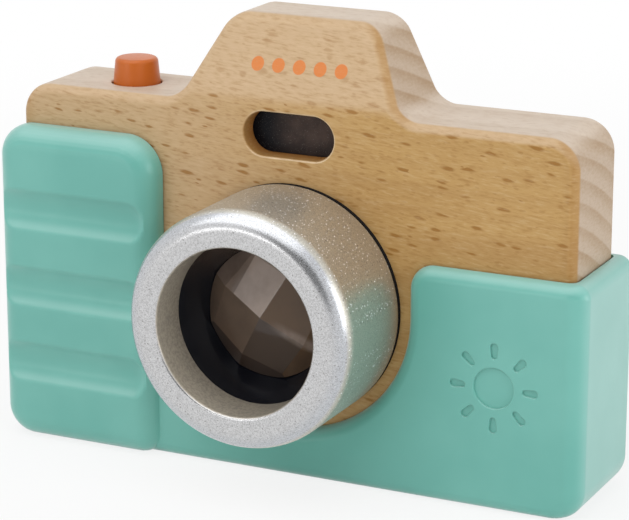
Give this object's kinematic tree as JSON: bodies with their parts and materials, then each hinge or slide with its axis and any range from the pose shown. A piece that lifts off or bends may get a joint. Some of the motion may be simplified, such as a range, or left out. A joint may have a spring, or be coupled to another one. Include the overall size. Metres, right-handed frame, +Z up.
{
  "type": "toy camera",
  "caption": "Wooden toy camera in a soft silicone sleeve, with a finger grip, a turning ring round a faceted prism lens, a see-through viewfinder and a push button that clicks.",
  "frame": {"origin": "middle of the flat underside that the camera stands on", "axes": "+X to the right as seen from the front, along the width; -Y out of the lens to the front; +Z up"},
  "size_m": [0.13, 0.0505, 0.0935],
  "materials": {
    "beech": "sanded beech with a thin matt oil, short dark flecks",
    "mint_silicone": "soft satin silicone",
    "silver_paint": "turned wood in metallic silver paint with a fine sparkle",
    "smoked_lens": "polished smoked brown acrylic with flat facets",
    "black_rubber": "matt black seal",
    "black_plastic": "fine moulded grain",
    "steel": "bright zinc plate",
    "dark_felt": "pressed dark felt",
    "white_plastic": "smooth nylon",
    "clear_window": "clear polished acrylic",
    "smoked_window": "polished smoked acrylic",
    "orange_plastic": "glossy moulded plastic",
    "board_green": "green circuit board",
    "cell_steel": "polished cell cans",
    "contact_brass": "stamped spring brass",
    "cover_plastic": "warm white moulded plastic, fine grain"
  },
  "bodies": {
    "camera_body": {"wood_body": "beech", "silicone_sleeve": "mint_silicone", "felt_washer": "dark_felt", "thrust_washer": "white_plastic", "eyepiece_rim": "black_plastic", "eyepiece_window": "clear_window", "viewfinder_front_window": "smoked_window", "viewfinder_rear_window": "smoked_window", "button_spring": "steel", "sound_case": "black_plastic", "circuit_board": "board_green", "tact_switch": "black_plastic", "speaker": "black_plastic", "button_cells": "cell_steel", "battery_contacts": "contact_brass", "sound_cover": "cover_plastic", "cover_screws": "steel", "battery_door": "cover_plastic", "battery_door_screw": "steel"},
    "turning_lens": {"lens_ring": "silver_paint", "prism_lens": "smoked_lens", "lens_seal": "black_rubber", "lens_hub": "black_plastic", "hub_screws": "steel", "retaining_ring": "black_plastic", "retainer_screws": "steel"},
    "button": {"shutter_button": "orange_plastic", "stop_washer": "steel"}
  },
  "joints": [
    {"name": "lens_turn", "type": "hinge", "parent": "camera_body", "child": "turning_lens", "pos_m": [0.001, -0.024, 0.037], "axis": [0, -1, 0], "continuous": true},
    {"name": "shutter_press", "type": "slide", "parent": "camera_body", "child": "button", "axis": [0, 0, -1], "range_m": [0, 0.0025], "stiffness_N_per_m": 300, "springref_m": -0.002, "deforming": ["button_spring"]}
  ]
}
